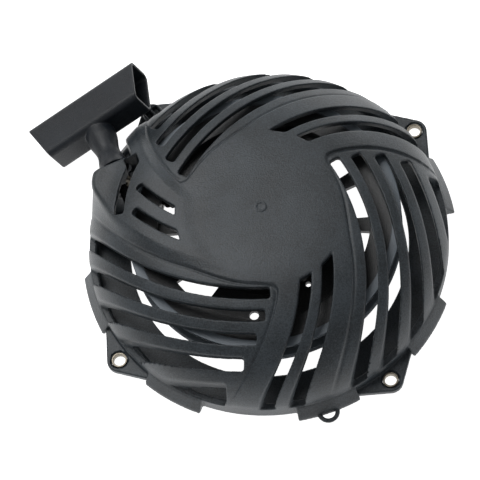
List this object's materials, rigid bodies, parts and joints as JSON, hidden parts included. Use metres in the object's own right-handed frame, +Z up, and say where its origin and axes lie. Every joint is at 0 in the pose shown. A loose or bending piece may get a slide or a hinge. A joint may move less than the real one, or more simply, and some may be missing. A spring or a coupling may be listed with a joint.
{
  "type": "recoil starter",
  "caption": "Pull-rope recoil starter for a small vertical-shaft engine: slotted dome cover, rope pulley with recoil spring, pawls and a pull handle.",
  "frame": {"origin": "centre of the cover's mounting plane, on the engine's shaft axis", "axes": "+Z up along the shaft axis towards the crown of the cover; +X and +Y along the sides of the square bolt pattern"},
  "size_m": [0.2448, 0.2034, 0.0553],
  "materials": {
    "cover_plastic": "fine-grained moulded black nylon",
    "grip_plastic": "smooth satin moulded black plastic",
    "pulley_plastic": "smooth moulded black nylon",
    "rope": "braided black nylon starter rope",
    "spring_steel": "oiled blue-brown spring steel",
    "zinc_steel": "zinc plated steel",
    "brass": "turned brass"
  },
  "bodies": {
    "housing": {"cover": "cover_plastic", "post_insert": "brass", "rope_eyelet": "zinc_steel", "ear_sleeve_1": "zinc_steel", "ear_sleeve_2": "zinc_steel", "ear_sleeve_3": "zinc_steel", "ear_sleeve_4": "zinc_steel", "centre_screw": "zinc_steel", "centre_washer": "zinc_steel", "rope_lead": "rope"},
    "reel": {"pulley": "pulley_plastic", "recoil_spring": "spring_steel", "rope_winding": "rope", "anchor_knot": "rope", "pawl_spring_1": "spring_steel", "pawl_spring_2": "spring_steel"},
    "pawl_1": {"pawl_1": "zinc_steel"},
    "pawl_2": {"pawl_2": "zinc_steel"},
    "plate": {"pawl_plate": "zinc_steel", "friction_spring": "spring_steel"},
    "handle": {"grip": "grip_plastic", "knot_washer": "zinc_steel", "grip_knot": "rope", "rope_pull": "rope"}
  },
  "joints": [
    {"name": "pulley_spin", "type": "hinge", "parent": "housing", "child": "reel", "pos_m": [0, 0, 0.03], "axis": [0, 0, -1], "range_deg": [0, 1080], "stiffness_Nm_per_rad": 0.02, "springref_deg": -171.89},
    {"name": "handle_pull", "type": "slide", "parent": "housing", "child": "handle", "axis": [-0.454, 0.891, 0], "range_m": [0, 1.2262]},
    {"name": "plate_turn", "type": "hinge", "parent": "reel", "child": "plate", "pos_m": [0, 0, 0.012], "axis": [0, 0, 1], "range_deg": [0, 18], "stiffness_Nm_per_rad": 0.02},
    {"name": "pawl_1_swing", "type": "hinge", "parent": "reel", "child": "pawl_1", "pos_m": [0.02079, 0.012, 0.018], "axis": [0, 0, 1], "range_deg": [0, 28.1]},
    {"name": "pawl_2_swing", "type": "hinge", "parent": "reel", "child": "pawl_2", "pos_m": [-0.02079, -0.012, 0.018], "axis": [0, 0, 1], "range_deg": [0, 28.1]}
  ],
  "couplings": [
    {"joint": "handle_pull", "follows": "pulley_spin", "m_per_rad": 0.065},
    {"joint": "pawl_1_swing", "follows": "plate_turn", "ratio": 1.55},
    {"joint": "pawl_2_swing", "follows": "plate_turn", "ratio": 1.55}
  ]
}
